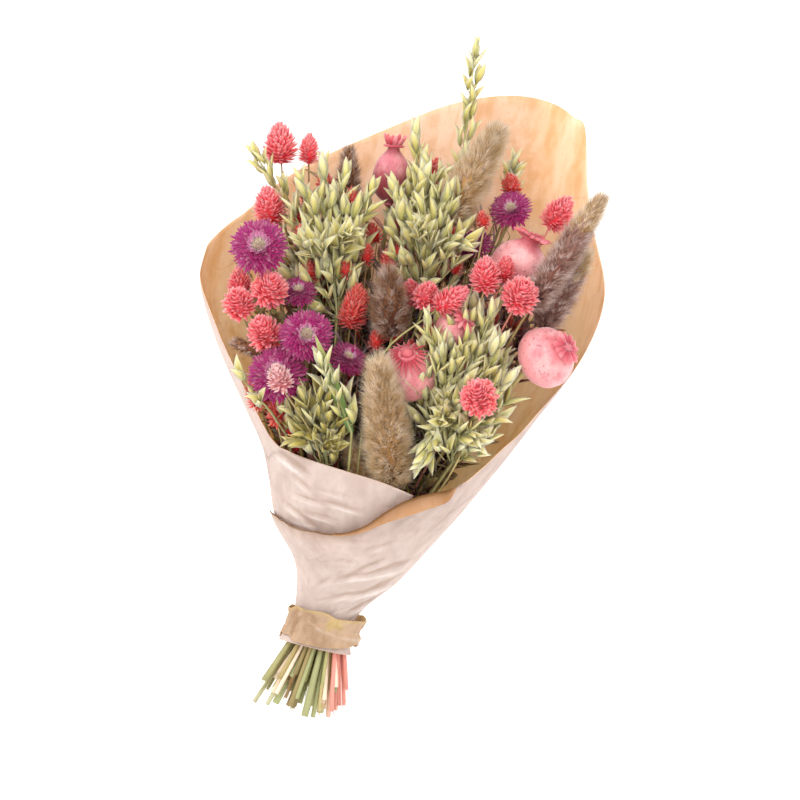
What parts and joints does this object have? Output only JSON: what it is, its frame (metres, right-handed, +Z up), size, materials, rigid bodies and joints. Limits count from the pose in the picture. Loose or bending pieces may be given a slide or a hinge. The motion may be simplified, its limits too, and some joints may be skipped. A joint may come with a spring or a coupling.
{
  "type": "dried flower bouquet",
  "caption": "Bunch of dried flowers and grasses in an open cone of kraft paper, tied at the neck, lying on its back with the cut stems showing below the tie.",
  "frame": {"origin": "on the surface that the bunch lies on, under the middle of its box", "axes": "+Y along the bunch from the cut stems to the flowers, +Z up through the open front, +X to the right seen from above"},
  "size_m": [0.2654, 0.4732, 0.1579],
  "materials": {
    "wrap_paper": "kraft paper, tan inside and pale outside, matte",
    "tie_paper": "kraft paper strip, folded and creased, matte",
    "canary_coral": "dyed dry scales, matte",
    "canary_red": "dyed dry scales, matte",
    "canary_pale": "dyed dry scales, matte",
    "poppy_pink": "dyed dry pod, faintly mottled, matte",
    "strawflower_magenta": "dry papery bracts, faint sheen",
    "plume_beige": "dry bristles, soft",
    "plume_brown": "dry bristles, soft",
    "plume_mauve": "dry bristles, soft",
    "oat_green": "dry papery husks, matte"
  },
  "bodies": {
    "root": {"paper_wrap": "wrap_paper", "paper_tie": "tie_paper", "canary_grass_01": "canary_coral", "canary_grass_02": "canary_coral", "canary_grass_03": "canary_coral", "canary_grass_04": "canary_coral", "canary_grass_05": "canary_coral", "canary_grass_06": "canary_coral", "canary_grass_07": "canary_coral", "canary_grass_08": "canary_red", "canary_grass_09": "canary_pale", "canary_grass_10": "canary_coral", "canary_grass_11": "canary_coral", "canary_grass_12": "canary_coral", "canary_grass_13": "canary_coral", "canary_grass_14": "canary_coral", "canary_grass_15": "canary_coral", "canary_grass_16": "canary_coral", "canary_grass_17": "canary_coral", "canary_grass_18": "canary_red", "canary_grass_19": "canary_red", "canary_grass_20": "canary_red", "canary_grass_21": "canary_red", "canary_grass_22": "canary_red", "canary_grass_23": "canary_red", "canary_grass_24": "canary_red", "canary_grass_25": "canary_red", "canary_grass_26": "canary_red", "canary_grass_27": "canary_red", "canary_grass_28": "canary_red", "poppy_1": "poppy_pink", "poppy_2": "poppy_pink", "poppy_3": "poppy_pink", "poppy_4": "poppy_pink", "poppy_5": "poppy_pink", "strawflower_1": "strawflower_magenta", "strawflower_2": "strawflower_magenta", "strawflower_3": "strawflower_magenta", "strawflower_4": "strawflower_magenta", "strawflower_5": "strawflower_magenta", "strawflower_6": "strawflower_magenta", "strawflower_7": "strawflower_magenta", "plume_1": "plume_brown", "plume_2": "plume_beige", "plume_3": "plume_mauve", "plume_4": "plume_mauve", "plume_5": "plume_brown", "plume_6": "plume_beige", "plume_7": "plume_beige", "plume_8": "plume_brown", "oat_1": "oat_green", "oat_2": "oat_green", "oat_3": "oat_green", "oat_4": "oat_green", "oat_5": "oat_green", "oat_6": "oat_green", "oat_7": "oat_green", "oat_8": "oat_green", "oat_9": "oat_green"}
  },
  "joints": []
}
